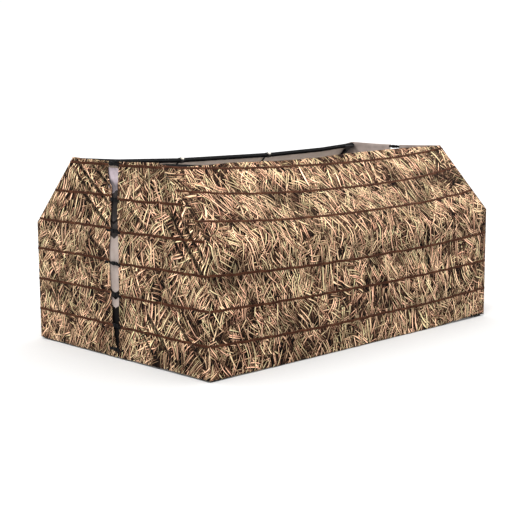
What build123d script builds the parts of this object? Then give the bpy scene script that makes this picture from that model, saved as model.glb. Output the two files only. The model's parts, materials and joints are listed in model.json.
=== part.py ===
from build123d import *
import math
import os

# Free-standing field blind: a six-sided fabric enclosure with an open top on a
# hinged square-tube frame.  Millimetres.  +Z up, +X along the length, the long
# side facing -Y is the front.  Origin: bottom centre, on the ground.

# ------------------------------------------------------------------ driving dimensions
LENGTH = 3060.0        # over the two end walls
WIDTH = 1920.0         # over the two long walls
HEIGHT = 1395.0        # ground to the top edge at the corners
KNEE_OUT_Z = 885.0     # height of the outside crease between wall and roof panel
INSET = 478.0          # how far the top edge stands in from the wall
CORNER_HEM_Z = 25.0    # hem height at the corners
MID_HEM_Z = 2.0        # hem height half way along the long side
TUBE = 25.4            # square frame tube, outside
TUBE_WALL = 1.6
SKIN = 2.0             # fabric with its lining
SKIN_OFF = 22.0        # tube centre plane to the inside of the fabric
STRAP_W = 20.0         # stubble strap
STRAP_T = 1.5
RAIL_SAG = 62.0        # in-plane sag of the top rail between its corners
PIVOT_Z_FRONT = 58.0   # base hinge of the side that folds down first
PIVOT_Z_REAR = 110.0   # base hinge of the side that folds down on top of it
BASE_TUBE_Z = 25.0     # centre height of the base tubes
POST_X = 1497.0        # corner posts, centre
ARM_X = 1470.6         # roof arms, centre, inboard of the posts
SILL_X = 1510.0        # base tubes across the ends
RAIL_END_X = 1521.0
KNEE_RAIL_Z = 827.0
RAIL_JOINT_X = 480.0   # top rail section joints
BOLT_R = 4.0           # M8 pivot bolts
BORE_R = 4.05
ANCHOR_X = 1400.0      # anchor hole pattern, half spacing
ANCHOR_Y = 900.0
ANCHOR_R = 5.5
SLIT_FRONT = 30.0      # slit in each end wall: front leaf edge and rear leaf edge from the middle
SLIT_REAR = 54.0
WALL_STRAP_Z = (237.0, 467.0, 697.0)
END_STRAP_Z = (237.0, 467.0, 697.0, 922.0, 1148.0, 1377.0)
BUCKLE_Z = (65.0, 236.0, 457.0, 677.0, 904.0, 1122.0, 1368.0)
BUCKLE_Y = 12.0         # middle of the buckles
PLACKET_Z = (60.0, 1335.0)

# ------------------------------------------------------------------ derived
HALF = TUBE / 2
IN = HALF - TUBE_WALL
FRAME_Y = WIDTH / 2 - SKIN_OFF - SKIN            # 936
END_X = LENGTH / 2                               # 1530
SKIN_X = END_X - SKIN - 0.3                      # long covers stop here
SLANT = math.atan2(INSET, HEIGHT - KNEE_OUT_Z)
SS, CS = math.sin(SLANT), math.cos(SLANT)
OUT = SKIN_OFF + SKIN
KNEE_Z = KNEE_OUT_Z - OUT * math.tan(SLANT / 2)  # knee pivot height
T_TOP = (HEIGHT - KNEE_Z - OUT * SS) / CS        # top edge, along the slant from the pivot
T_RAIL = T_TOP - 3.8 - HALF                      # top rail centre
TOP_Y = WIDTH / 2 - INSET                        # 482

SIDES = (("front", -1, PIVOT_Z_FRONT), ("rear", 1, PIVOT_Z_REAR))
ENDS = (("left", -1), ("right", 1))


# ------------------------------------------------------------------ helpers
def wall_pt(s, x, z, n):
    return Vector(x, s * (FRAME_Y + n), z)


def roof_pt(s, x, t, n):
    return Vector(x, s * (FRAME_Y - SS * t + CS * n), KNEE_Z + CS * t + SS * n)


def prism(points, vec):
    return Solid.extrude(Face(Wire.make_polygon(points, close=True)), Vector(*vec))


def wall_slab(s, pts, n0, n1):
    return prism([wall_pt(s, x, z, n0) for x, z in pts], (0, s * (n1 - n0), 0))


def roof_slab(s, pts, n0, n1):
    return prism([roof_pt(s, x, t, n0) for x, t in pts],
                 (0, s * CS * (n1 - n0), SS * (n1 - n0)))


def box(x0, x1, y0, y1, z0, z1):
    return Pos((x0 + x1) / 2, (y0 + y1) / 2, (z0 + z1) / 2) * Box(abs(x1 - x0), abs(y1 - y0), abs(z1 - z0))


def rod_x(x0, x1, y, z, r):
    return Pos((x0 + x1) / 2, y, z) * Rot(0, 90, 0) * Cylinder(r, abs(x1 - x0))


def hex_x(x0, x1, y, z, af):
    r = af / math.sqrt(3)
    pts = [(x0, y + r * math.cos(math.radians(60 * k)), z + r * math.sin(math.radians(60 * k))) for k in range(6)]
    return prism(pts, (x1 - x0, 0, 0))


def rod(p, d, length, r):
    # cylinder from point p along unit direction d
    pl = Plane(origin=p, z_dir=d)
    return pl * (Pos(0, 0, length / 2) * Cylinder(r, length))


def tube_x(x0, x1, y, z):
    return box(x0, x1, y - HALF, y + HALF, z - HALF, z + HALF) - box(x0 - 1, x1 + 1, y - IN, y + IN, z - IN, z + IN)


def tube_y(x, y0, y1, z):
    return box(x - HALF, x + HALF, y0, y1, z - HALF, z + HALF) - box(x - IN, x + IN, y0 - 1, y1 + 1, z - IN, z + IN)


def rivet(p, d, plate):
    # blind rivet: dome head on the plate, shank through plate and tube wall
    p, d = Vector(*p), Vector(*d)
    head = rod(p, d, 1.8, 4.8)
    shank = rod(p - d * (plate + TUBE_WALL + 1.4), d, plate + TUBE_WALL + 1.4 + 0.2, 2.4)
    return head + shank


def rivet_hole(p, d):
    p, d = Vector(*p), Vector(*d)
    return rod(p - d * 12.0, d, 18.0, 2.5)


def fused(shape):
    sol = shape.solids()
    return sol[0] if len(sol) == 1 else Compound(children=list(sol))


def save(name, shapes):
    if not isinstance(shapes, (list, tuple)):
        shapes = [shapes]
    sol = []
    for sh in shapes:
        sol += list(sh.solids())
    out = sol[0] if len(sol) == 1 else Compound(children=sol)
    export_step(out, os.path.join("parts", name + ".step"))


def bow(x, depth, half=SKIN_X):
    # 0 at the corners, depth half way along
    u = min(1.0, abs(x) / half)
    return depth * (1.0 - u ** 2.2)


def sag(x):
    # in-plane sag of the top rail: straight middle section, two bent end sections
    a = abs(x)
    pts = ((0, RAIL_SAG), (512, RAIL_SAG), (1120, 0.55 * RAIL_SAG), (1450, 0.0), (2000, 0.0))
    for (x0, s0), (x1, s1) in zip(pts, pts[1:]):
        if a <= x1:
            return s0 + (s1 - s0) * (a - x0) / (x1 - x0)
    return 0.0


XS = [-SKIN_X + 2 * SKIN_X * k / 16 for k in range(17)]


def band(lo, hi, xs=XS):
    # closed outline between two curves over x
    return [(x, lo(x)) for x in xs] + [(x, hi(x)) for x in reversed(xs)]


# ------------------------------------------------------------------ rivet lists shared by plates and tubes
def corner_rivets(s, e):
    # on the inside angle between base rail and sill bar
    yi = s * (FRAME_Y - HALF - 3.0)
    xi = e * (SILL_X - HALF - 3.0)
    out = []
    for dx in (18.0, 44.0):
        out.append(((e * (SILL_X - HALF - dx), yi, BASE_TUBE_Z), (0, -s, 0), "rail"))
    for dy in (18.0, 44.0):
        out.append(((xi, s * (FRAME_Y - HALF - dy), BASE_TUBE_Z), (-e, 0, 0), "sill"))
    return out


def knee_rivets(s):
    out = []
    for e in (-1, 1):
        xi = e * (POST_X - HALF - 3.0)
        for dz in (14.0, 32.0):
            out.append(((xi, s * FRAME_Y, KNEE_RAIL_Z - HALF - dz), (-e, 0, 0), "corner"))
        for dx in (14.0, 32.0):
            out.append(((e * (POST_X - HALF - dx), s * FRAME_Y, KNEE_RAIL_Z - HALF - 3.0), (0, 0, -1), "rail"))
        for dz in (14.0, 32.0):
            out.append(((e * (HALF + 3.0), s * FRAME_Y, KNEE_RAIL_Z - HALF - dz), (e, 0, 0), "mid"))
        for dx in (14.0, 32.0):
            out.append(((e * (HALF + dx), s * FRAME_Y, KNEE_RAIL_Z - HALF - 3.0), (0, 0, -1), "rail"))
    return out


def gusset_rivets(s):
    d = (0, -s * CS, -SS)
    out = []
    for e in (-1, 1):
        for x, t, kind in ((ARM_X, T_RAIL - 72, "arm"), (ARM_X, T_RAIL - 34, "arm"),
                           (1420.0, T_RAIL, "rail"), (1506.0, T_RAIL, "rail")):
            p = roof_pt(s, e * x, t, -HALF - 3.0)
            out.append(((p.X, p.Y, p.Z), d, kind))
    return out


# ------------------------------------------------------------------ base frame
caps = []
for name, s, zp in SIDES:
    y = s * FRAME_Y
    rail = tube_x(-RAIL_END_X, RAIL_END_X, y, BASE_TUBE_Z)
    for e in (-1, 1):
        for p, d, kind in corner_rivets(s, e):
            if kind == "rail":
                rail -= rivet_hole(p, d)
    save("base_rail_" + name, rail)
    for e in (-1, 1):
        plug = box(e * (RAIL_END_X - 14), e * RAIL_END_X, y - IN + 0.1, y + IN - 0.1, BASE_TUBE_Z - IN + 0.1, BASE_TUBE_Z + IN - 0.1)
        lid = box(e * RAIL_END_X, e * (RAIL_END_X + 2.5), y - HALF, y + HALF, BASE_TUBE_Z - HALF, BASE_TUBE_Z + HALF)
        caps.append(plug + lid)
save("base_end_caps", caps)

sills = []
for end, e in ENDS:
    bar = tube_y(e * SILL_X, -(FRAME_Y - HALF), FRAME_Y - HALF, BASE_TUBE_Z)
    for s in (-1, 1):
        for p, d, kind in corner_rivets(s, e):
            if kind == "sill":
                bar -= rivet_hole(p, d)
    sills.append(bar)
save("sill_bars", sills)

brackets = []
for end, e in ENDS:
    for name, s, zp in SIDES:
        xi, yi = e * (SILL_X - HALF), s * (FRAME_Y - HALF)
        a = box(xi - e * 58, xi, yi - s * 3, yi, BASE_TUBE_Z - 10, BASE_TUBE_Z + 10)
        b = box(xi - e * 3, xi, yi - s * 58, yi, BASE_TUBE_Z - 10, BASE_TUBE_Z + 10)
        angle = a + b
        riv = []
        for p, d, kind in corner_rivets(s, e):
            angle -= rivet_hole(p, d)
            riv.append(rivet(p, d, 3.0))
        brackets += [angle] + riv
save("corner_brackets", brackets)

feet = []
for s in (-1, 1):
    for x in (-1465.0, -480.0, 480.0, 1465.0):
        pad = box(x - 32, x + 32, s * FRAME_Y - 12, s * FRAME_Y + 12, 0, BASE_TUBE_Z - HALF)
        pad = fillet(pad.edges().filter_by(Axis.Z), 5.0)
        feet.append(pad)
save("base_feet", feet)

plates = []
for e in (-1, 1):
    for s in (-1, 1):
        x = e * ANCHOR_X
        z1 = BASE_TUBE_Z - HALF
        pl = box(x - 26, x + 26, s * (FRAME_Y + 10), s * (ANCHOR_Y - 22), z1 - 3, z1)
        pl = fillet(pl.edges().filter_by(Axis.Z), 4.0)
        pl -= Pos(x, s * ANCHOR_Y, z1 - 1.5) * Cylinder(ANCHOR_R, 10)
        plates.append(pl)
save("anchor_plates", plates)

hinge, pins = [], []
for name, s, zp in SIDES:
    y = s * FRAME_Y
    z0 = BASE_TUBE_Z + HALF
    for x in (-POST_X, 0.0, POST_X):
        u = box(x - HALF - 3.5, x + HALF + 3.5, y - 12, y + 12, z0, z0 + 3)
        for q in (-1, 1):
            x0, x1 = x + q * (HALF + 0.5), x + q * (HALF + 3.5)
            ear = box(x0, x1, y - 12, y + 12, z0 + 2, zp) + rod_x(min(x0, x1), max(x0, x1), y, zp, 12.0)
            u = u + ear
        u -= rod_x(x - 30, x + 30, y, zp, BORE_R)
        hinge.append(u)
        q = 1 if x >= 0 else -1
        head = hex_x(x + q * (HALF + 3.5), x + q * (HALF + 8.5), y, zp, 13.0)
        nut = hex_x(x - q * (HALF + 3.5), x - q * (HALF + 9.5), y, zp, 13.0)
        shank = rod_x(x - HALF - 11.0, x + HALF + 8.0, y, zp, BOLT_R) if q > 0 else rod_x(x - HALF - 8.0, x + HALF + 11.0, y, zp, BOLT_R)
        pins.append(shank + head + nut)
save("hinge_brackets", hinge)
save("base_hinge_bolts", pins)

# ------------------------------------------------------------------ end walls: fixed corner panels
end_straps = []
for name, s, zp in SIDES:
    panels = []
    for end, e in ENDS:
        x0 = e * (END_X - SKIN)
        pts = [(x0, s * WIDTH / 2, CORNER_HEM_Z), (x0, s * WIDTH / 2, KNEE_OUT_Z), (x0, s * TOP_Y, HEIGHT), (x0, s * TOP_Y, CORNER_HEM_Z)]
        panels.append(prism(pts, (e * SKIN, 0, 0)))
        for z in END_STRAP_Z[:5]:
            lo, hi = z - STRAP_W / 2, z + STRAP_W / 2
            def edge(zz):
                return WIDTH / 2 if zz <= KNEE_OUT_Z else WIDTH / 2 - (zz - KNEE_OUT_Z) * INSET / (HEIGHT - KNEE_OUT_Z)
            x1 = e * END_X
            pts = [(x1, s * TOP_Y, lo), (x1, s * edge(lo), lo), (x1, s * edge(hi), hi), (x1, s * TOP_Y, hi)]
            end_straps.append(prism(pts, (e * STRAP_T, 0, 0)))
    save("end_panels_" + name, panels)
save("end_panel_straps", end_straps)

# ------------------------------------------------------------------ long sides
for name, s, zp in SIDES:
    y = s * FRAME_Y
    # posts
    posts = []
    for x in (-POST_X, 0.0, POST_X):
        corner = x != 0
        top = KNEE_Z if corner else KNEE_RAIL_Z - HALF
        p = box(x - HALF, x + HALF, y - HALF, y + HALF, zp, top) + rod_x(x - HALF, x + HALF, y, zp, HALF)
        if corner:
            p = p + rod_x(x - HALF, x + HALF, y, top, HALF)
        p -= box(x - IN, x + IN, y - IN, y + IN, zp + 16, top - 16)
        p -= rod_x(x - 30, x + 30, y, zp, BORE_R)
        if corner:
            p -= rod_x(x - 30, x + 30, y, top, BORE_R)
        for q, d, kind in knee_rivets(s):
            if (kind == "corner" and corner and q[0] * x > 0) or (kind == "mid" and not corner):
                p -= rivet_hole(q, d)
        posts.append(p)
    save("posts_" + name, posts)

    rail = tube_x(-(POST_X - HALF), POST_X - HALF, y, KNEE_RAIL_Z)
    for q, d, kind in knee_rivets(s):
        if kind == "rail":
            rail -= rivet_hole(q, d)
    save("knee_rail_" + name, rail)

    # angle plates between posts and knee rail, with their rivets
    kb = []
    zr = KNEE_RAIL_Z - HALF
    for e in (-1, 1):
        for xi, d in ((e * (POST_X - HALF), -e), (e * HALF, e)):
            a = box(xi, xi + d * 3, y - 9, y + 9, zr - 44, zr)
            b = box(xi, xi + d * 44, y - 9, y + 9, zr - 3, zr)
            ang = a + b
            for q, dd, kind in knee_rivets(s):
                ang -= rivet_hole(q, dd)
            kb.append(ang)
    kb += [rivet(q, d, 3.0) for q, d, kind in knee_rivets(s)]
    save("knee_brackets_" + name, kb)

    # knee pivot bolts: cup head outside the post, spacer washer between post and arm
    kp = []
    for e in (-1, 1):
        head = rod_x(e * (POST_X + HALF), e * (POST_X + HALF + 3.5), y, KNEE_Z, 9.5)
        head = fillet(head.edges().filter_by(GeomType.CIRCLE).sort_by(Axis.X)[-1 if e > 0 else 0], 2.4)
        shank = rod_x(e * (POST_X + HALF + 0.5), e * 1441.0, y, KNEE_Z, BOLT_R)
        washer = rod_x(e * (POST_X - HALF), e * (POST_X - HALF - 0.75), y, KNEE_Z, 11.0) - rod_x(1400 * e, 1600 * e, y, KNEE_Z, BORE_R)
        kp += [head + shank, washer]
    save("knee_bolts_" + name, kp)

    # wall cover and its straps
    cover = wall_slab(s, band(lambda x: CORNER_HEM_Z - bow(x, CORNER_HEM_Z - MID_HEM_Z), lambda x: KNEE_Z - 1.0), SKIN_OFF, OUT)
    save("wall_cover_" + name, cover)
    st = []
    for z in WALL_STRAP_Z:
        st.append(wall_slab(s, band(lambda x: z - STRAP_W / 2 - bow(x, 24), lambda x: z + STRAP_W / 2 - bow(x, 24)), OUT, OUT + STRAP_T))
    save("wall_straps_" + name, st)

    # roof arms
    arms = []
    for e in (-1, 1):
        x = e * ARM_X
        a = roof_slab(s, [(x - HALF, 0), (x + HALF, 0), (x + HALF, T_RAIL - HALF), (x - HALF, T_RAIL - HALF)], -HALF, HALF)
        a = a + rod_x(x - HALF, x + HALF, y, KNEE_Z, HALF)
        a -= roof_slab(s, [(x - IN, 16), (x + IN, 16), (x + IN, T_RAIL), (x - IN, T_RAIL)], -IN, IN)
        a -= rod_x(x - 30, x + 30, y, KNEE_Z, BORE_R)
        for q, d, kind in gusset_rivets(s):
            if kind == "arm" and q[0] * e > 0:
                a -= rivet_hole(q, d)
        arms.append(a)
    save("roof_arms_" + name, arms)

    # top rail: three tube sections, sagging between the corners
    secs = []
    mid_x = [-RAIL_JOINT_X + 0.1, RAIL_JOINT_X - 0.1]
    end_x = [RAIL_JOINT_X + 0.1, 512.0, 1120.0, 1450.0, RAIL_END_X]
    for xs in (mid_x, end_x, [-v for v in reversed(end_x)]):
        outer = roof_slab(s, band(lambda x: T_RAIL - sag(x) - HALF, lambda x: T_RAIL - sag(x) + HALF, xs), -HALF, HALF)
        ix = [xs[0] - 1] + xs[1:-1] + [xs[-1] + 1]
        inner = roof_slab(s, band(lambda x: T_RAIL - sag(x) - IN, lambda x: T_RAIL - sag(x) + IN, ix), -IN, IN)
        sec = outer - inner
        for q, d, kind in gusset_rivets(s):
            if kind == "rail" and abs(q[0]) > 1300 and q[0] * (xs[0] + xs[-1]) > 0:
                sec -= rivet_hole(q, d)
        secs.append(sec)
    save("top_rail_" + name, secs)

    # sleeves over the section joints and plugs in the rail ends
    fit = []
    t0 = T_RAIL - RAIL_SAG
    for e in (-1, 1):
        x = e * RAIL_JOINT_X
        ring = roof_slab(s, [(x - 30, t0 - 14.7), (x + 30, t0 - 14.7), (x + 30, t0 + 14.7), (x - 30, t0 + 14.7)], -14.7, 14.7)
        ring -= roof_slab(s, [(x - 31, t0 - 12.8), (x + 31, t0 - 12.8), (x + 31, t0 + 12.8), (x - 31, t0 + 12.8)], -12.8, 12.8)
        fit.append(ring)
        xa, xb = e * RAIL_END_X, e * (RAIL_END_X + 2.5)
        lid = roof_slab(s, [(min(xa, xb), T_RAIL - HALF), (max(xa, xb), T_RAIL - HALF), (max(xa, xb), T_RAIL + HALF), (min(xa, xb), T_RAIL + HALF)], -HALF, HALF)
        xa, xb = e * (RAIL_END_X - 10), e * (RAIL_END_X + 1)
        k = IN - 0.1
        plug = roof_slab(s, [(min(xa, xb), T_RAIL - k), (max(xa, xb), T_RAIL - k), (max(xa, xb), T_RAIL + k), (min(xa, xb), T_RAIL + k)], -k, k)
        fit.append(lid + plug)
    save("rail_fittings_" + name, fit)

    # corner gussets on the inner face of arm and rail, with their rivets
    gs = []
    for e in (-1, 1):
        pts = [(1459, T_RAIL - 86), (1482, T_RAIL - 86), (1482, T_RAIL - 34), (1518, T_RAIL - 10), (1518, T_RAIL + 11),
               (1404, T_RAIL + 11), (1404, T_RAIL - 8), (1459, T_RAIL - 46)]
        g = roof_slab(s, [(e * px, t) for px, t in pts], -HALF - 3, -HALF)
        for q, d, kind in gusset_rivets(s):
            if q[0] * e > 0:
                g -= rivet_hole(q, d)
        gs.append(g)
    gs += [rivet(q, d, 3.0) for q, d, kind in gusset_rivets(s)]
    save("top_gussets_" + name, gs)

    # webbing tie round each sleeve with its tail, and the pale cap above it
    ties, tops = [], []
    for e in (-1, 1):
        x = e * RAIL_JOINT_X
        loop = roof_slab(s, [(x - 11, t0 - 16.4), (x + 11, t0 - 16.4), (x + 11, t0 + 16.4), (x - 11, t0 + 16.4)], -16.4, 16.4)
        loop -= roof_slab(s, [(x - 12, t0 - 14.9), (x + 12, t0 - 14.9), (x + 12, t0 + 14.9), (x - 12, t0 + 14.9)], -14.9, 14.9)
        tail = roof_slab(s, [(x - 11, t0 - 92), (x + 11, t0 - 92), (x + 11, t0 - 14), (x - 11, t0 - 14)], 14.9, 16.4)
        ties.append(loop + tail)
        c = rod(roof_pt(s, x, t0 + 16.4, 0), Vector(0, -s * SS, CS), 9.0, 13.0)
        tops.append(c)
    save("rail_ties_" + name, ties)
    save("coupler_caps_" + name, tops)

    # roof cover and its straps
    cover = roof_slab(s, band(lambda x: 1.0, lambda x: T_TOP - sag(x)), SKIN_OFF, OUT)
    save("roof_cover_" + name, cover)
    st = []
    for f, dip in ((0.30, 56.0), (0.66, 74.0)):
        tc = f * (T_TOP + 9.5) - 9.5
        st.append(roof_slab(s, band(lambda x: tc - STRAP_W / 2 - bow(x, dip), lambda x: tc + STRAP_W / 2 - bow(x, dip)), OUT, OUT + STRAP_T))
    st.append(roof_slab(s, band(lambda x: T_TOP - 56 - sag(x), lambda x: T_TOP - 36 - sag(x)), OUT, OUT + STRAP_T))
    save("roof_straps_" + name, st)

# ------------------------------------------------------------------ end walls: door leaves, placket, buckles
for end, e in ENDS:
    xi, xo = e * (END_X - SKIN), e * END_X
    for name, s, zp in SIDES:
        edge_y = SLIT_FRONT if s < 0 else SLIT_REAR
        leaf = box(min(xi, xo), max(xi, xo), min(s * edge_y, s * (TOP_Y - 0.3)), max(s * edge_y, s * (TOP_Y - 0.3)), CORNER_HEM_Z - 1, HEIGHT)
        save("door_leaf_%s_%s" % (end, name), leaf)
        st = []
        for z in END_STRAP_Z:
            ya, yb = s * (edge_y + 1), s * (TOP_Y - 0.3)
            st.append(box(min(xo, xo + e * STRAP_T), max(xo, xo + e * STRAP_T), min(ya, yb), max(ya, yb), z - STRAP_W / 2, z + STRAP_W / 2))
        save("door_straps_%s_%s" % (end, name), st)
    # grey placket sewn inside the front leaf, behind the slit
    pk = box(min(e * (END_X - 6), e * (END_X - 4)), max(e * (END_X - 6), e * (END_X - 4)), -74, SLIT_REAR - 5, PLACKET_Z[0], PLACKET_Z[1])
    pk2 = box(min(e * (END_X - 4.2), e * (END_X - 2)), max(e * (END_X - 4.2), e * (END_X - 2)), -74, -60, PLACKET_Z[0], PLACKET_Z[1])
    save("placket_%s" % end, pk + pk2)

    xb = END_X + 2.0
    T = 9.0

    def bx(y0, y1, z0, z1, a=0.0, b=T):
        return box(min(e * (xb + a), e * (xb + b)), max(e * (xb + a), e * (xb + b)), y0 + BUCKLE_Y, y1 + BUCKLE_Y, z0, z1)

    sockets, plugs = [], []
    for z in BUCKLE_Z:
        body = bx(-4, 29, z - 16.5, z + 16.5)
        body = fillet(body.edges().filter_by(Axis.X), 3.0)
        body -= bx(-5, 18, z - 11, z + 11, 2.2, 6.8)                 # mouth
        body -= bx(2.5, 14.5, z - 20, z + 20, 2.2, 6.8)              # side windows
        body -= bx(21.5, 25, z - 12, z + 12, -1, T + 1)              # webbing slot
        sockets.append(body)
        base = bx(-29, -4.4, z - 16.5, z + 16.5)
        base = fillet(base.edges().filter_by(Axis.X), 3.0)
        base -= bx(-25, -21.5, z - 12, z + 12, -1, T + 1)
        tongue = bx(-5, 13, z - 3, z + 3, 2.6, 6.4)
        prongs = []
        for q in (-1, 1):
            b = BUCKLE_Y
            pts = [(e * (xb + 2.6), b - 5, z + q * 6.5), (e * (xb + 2.6), b + 12, z + q * 6.5), (e * (xb + 2.6), b + 12.6, z + q * 9),
                   (e * (xb + 2.6), b + 4, z + q * 15.2), (e * (xb + 2.6), b + 3.2, z + q * 15.2), (e * (xb + 2.6), b + 3.2, z + q * 10.4), (e * (xb + 2.6), b - 5, z + q * 10.4)]
            prongs.append(prism(pts, (e * 3.8, 0, 0)))
        plugs.append(base + tongue + prongs[0] + prongs[1])
    save("buckle_sockets_%s" % end, sockets)
    save("buckle_plugs_%s" % end, plugs)

# ------------------------------------------------------------------ knee clamp knobs
for end, e in ENDS:
    for name, s, zp in SIDES:
        y = s * FRAME_Y
        x1 = ARM_X - HALF - 0.3
        hub = rod_x(e * (x1 - 8), e * x1, y, KNEE_Z, 9.0)
        grip = rod_x(e * (x1 - 22), e * (x1 - 8), y, KNEE_Z, 13.0)
        for k in range(5):
            a = math.radians(72 * k)
            grip = grip + rod_x(e * (x1 - 22), e * (x1 - 8), y + 11.4 * math.cos(a), KNEE_Z + 11.4 * math.sin(a), 5.4)
        knob = hub + grip
        knob -= rod_x(e * 1439.0, e * (x1 + 1), y, KNEE_Z, BORE_R)
        save("knee_knob_%s_%s" % (end, name), knob)
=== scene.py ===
import bpy
import json
import math
import numpy as np
from mathutils import Matrix, Vector


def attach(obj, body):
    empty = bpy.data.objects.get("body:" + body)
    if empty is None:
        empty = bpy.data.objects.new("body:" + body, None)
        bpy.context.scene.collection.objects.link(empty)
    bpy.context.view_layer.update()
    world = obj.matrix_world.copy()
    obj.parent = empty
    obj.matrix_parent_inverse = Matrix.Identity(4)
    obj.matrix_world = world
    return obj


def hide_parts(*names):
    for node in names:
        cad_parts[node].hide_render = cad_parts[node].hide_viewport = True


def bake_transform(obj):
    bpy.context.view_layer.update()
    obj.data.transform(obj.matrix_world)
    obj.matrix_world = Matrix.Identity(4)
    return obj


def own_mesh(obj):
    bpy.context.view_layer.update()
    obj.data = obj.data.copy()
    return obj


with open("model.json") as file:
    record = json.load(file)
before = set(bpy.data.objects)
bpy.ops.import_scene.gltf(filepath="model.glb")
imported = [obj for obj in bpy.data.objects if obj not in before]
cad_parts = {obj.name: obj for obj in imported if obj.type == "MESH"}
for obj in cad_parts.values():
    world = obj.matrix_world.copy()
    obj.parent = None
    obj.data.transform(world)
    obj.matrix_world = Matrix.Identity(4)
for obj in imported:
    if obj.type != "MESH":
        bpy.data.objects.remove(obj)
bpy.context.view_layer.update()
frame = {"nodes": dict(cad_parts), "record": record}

# ---------------------------------------------------------------- camera
cam_data = bpy.data.cameras.new("camera")
cam = bpy.data.objects.new("camera", cam_data)
bpy.context.scene.collection.objects.link(cam)
cam_data.sensor_width = 36.0
cam_data.lens = 78.0
cam_data.clip_start = 0.05
cam_data.clip_end = 200.0
yaw, pitch, roll = math.radians(44.57), math.radians(-8.62), math.radians(-0.27)
fwd = Vector((math.sin(yaw) * math.cos(pitch), math.cos(yaw) * math.cos(pitch), math.sin(pitch)))
right = Vector((math.cos(yaw), -math.sin(yaw), 0.0))
up = right.cross(fwd)
r2 = right * math.cos(roll) + up * math.sin(roll)
u2 = -right * math.sin(roll) + up * math.cos(roll)
rot = Matrix((r2, u2, -fwd)).transposed()
cam.matrix_world = Matrix.Translation((-6.243, -6.204, 1.868)) @ rot.to_4x4()
bpy.context.scene.camera = cam

scene = bpy.context.scene
scene.view_settings.view_transform = "Standard"
scene.view_settings.look = "None"
scene.view_settings.exposure = 0.0
scene.view_settings.gamma = 1.0

# ---------------------------------------------------------------- sizes, from the frame
END_X = 1.530
HALF_W = 0.960
KNEE_OUT = 0.885
TOP_Z = 1.395
TOP_Y = 0.482
FRAME_Y = 0.936
SLANT = math.atan2(0.478, 0.510)
SS, CS = math.sin(SLANT), math.cos(SLANT)
KNEE_Z = KNEE_OUT - 0.024 * math.tan(SLANT / 2)
T_TOP = (TOP_Z - KNEE_Z - 0.024 * SS) / CS
COVER_X = 1.5272
WALL_STRAP_Z = (0.237, 0.467, 0.697)
END_STRAP_Z = (0.237, 0.467, 0.697, 0.922, 1.148, 1.362)
BUCKLE_Z = (0.065, 0.236, 0.457, 0.677, 0.904, 1.122, 1.368)
BUCKLE_Y = 0.012

SIDES = (("front", -1), ("rear", 1))
ENDS = (("left", -1), ("right", 1))


# ---------------------------------------------------------------- repeatable noise
def _hash(ix, iy, seed):
    h = (ix.astype(np.int64) * 374761393 + iy.astype(np.int64) * 668265263 + seed * 2147483647) & 0xFFFFFFFF
    h = ((h ^ (h >> 13)) * 1274126177) & 0xFFFFFFFF
    h = h ^ (h >> 16)
    return (h & 0xFFFF) / 65535.0


def vnoise(x, y, seed=0):
    """Smooth value noise, -1 to 1."""
    x, y = np.broadcast_arrays(np.asarray(x, float), np.asarray(y, float))
    ix, iy = np.floor(x), np.floor(y)
    fx, fy = x - ix, y - iy
    fx, fy = fx * fx * fx * (fx * (fx * 6 - 15) + 10), fy * fy * fy * (fy * (fy * 6 - 15) + 10)
    ix, iy = ix.astype(int), iy.astype(int)
    a, b = _hash(ix, iy, seed), _hash(ix + 1, iy, seed)
    c, d = _hash(ix, iy + 1, seed), _hash(ix + 1, iy + 1, seed)
    return ((a * (1 - fx) + b * fx) * (1 - fy) + (c * (1 - fx) + d * fx) * fy) * 2 - 1


def fnoise(x, y, seed=0, octaves=3):
    out, amp, tot = 0.0, 1.0, 0.0
    for k in range(octaves):
        out = out + amp * vnoise(np.asarray(x) * 2 ** k, np.asarray(y) * 2 ** k, seed + 17 * k)
        tot += amp
        amp *= 0.5
    return out / tot


def floor_to(r, low, k=0.0015):
    """Soft lower limit, so cloth never sinks into the frame behind it."""
    return low + k * np.logaddexp(0.0, (r - low) / k)


def sstep(a, b, x):
    t = np.clip((np.asarray(x, float) - a) / (b - a), 0, 1)
    return t * t * (3 - 2 * t)


# ---------------------------------------------------------------- materials
def new_mat(name):
    m = bpy.data.materials.new(name)
    m.use_nodes = True
    nt = m.node_tree
    nt.nodes.clear()
    return m, nt


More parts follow.
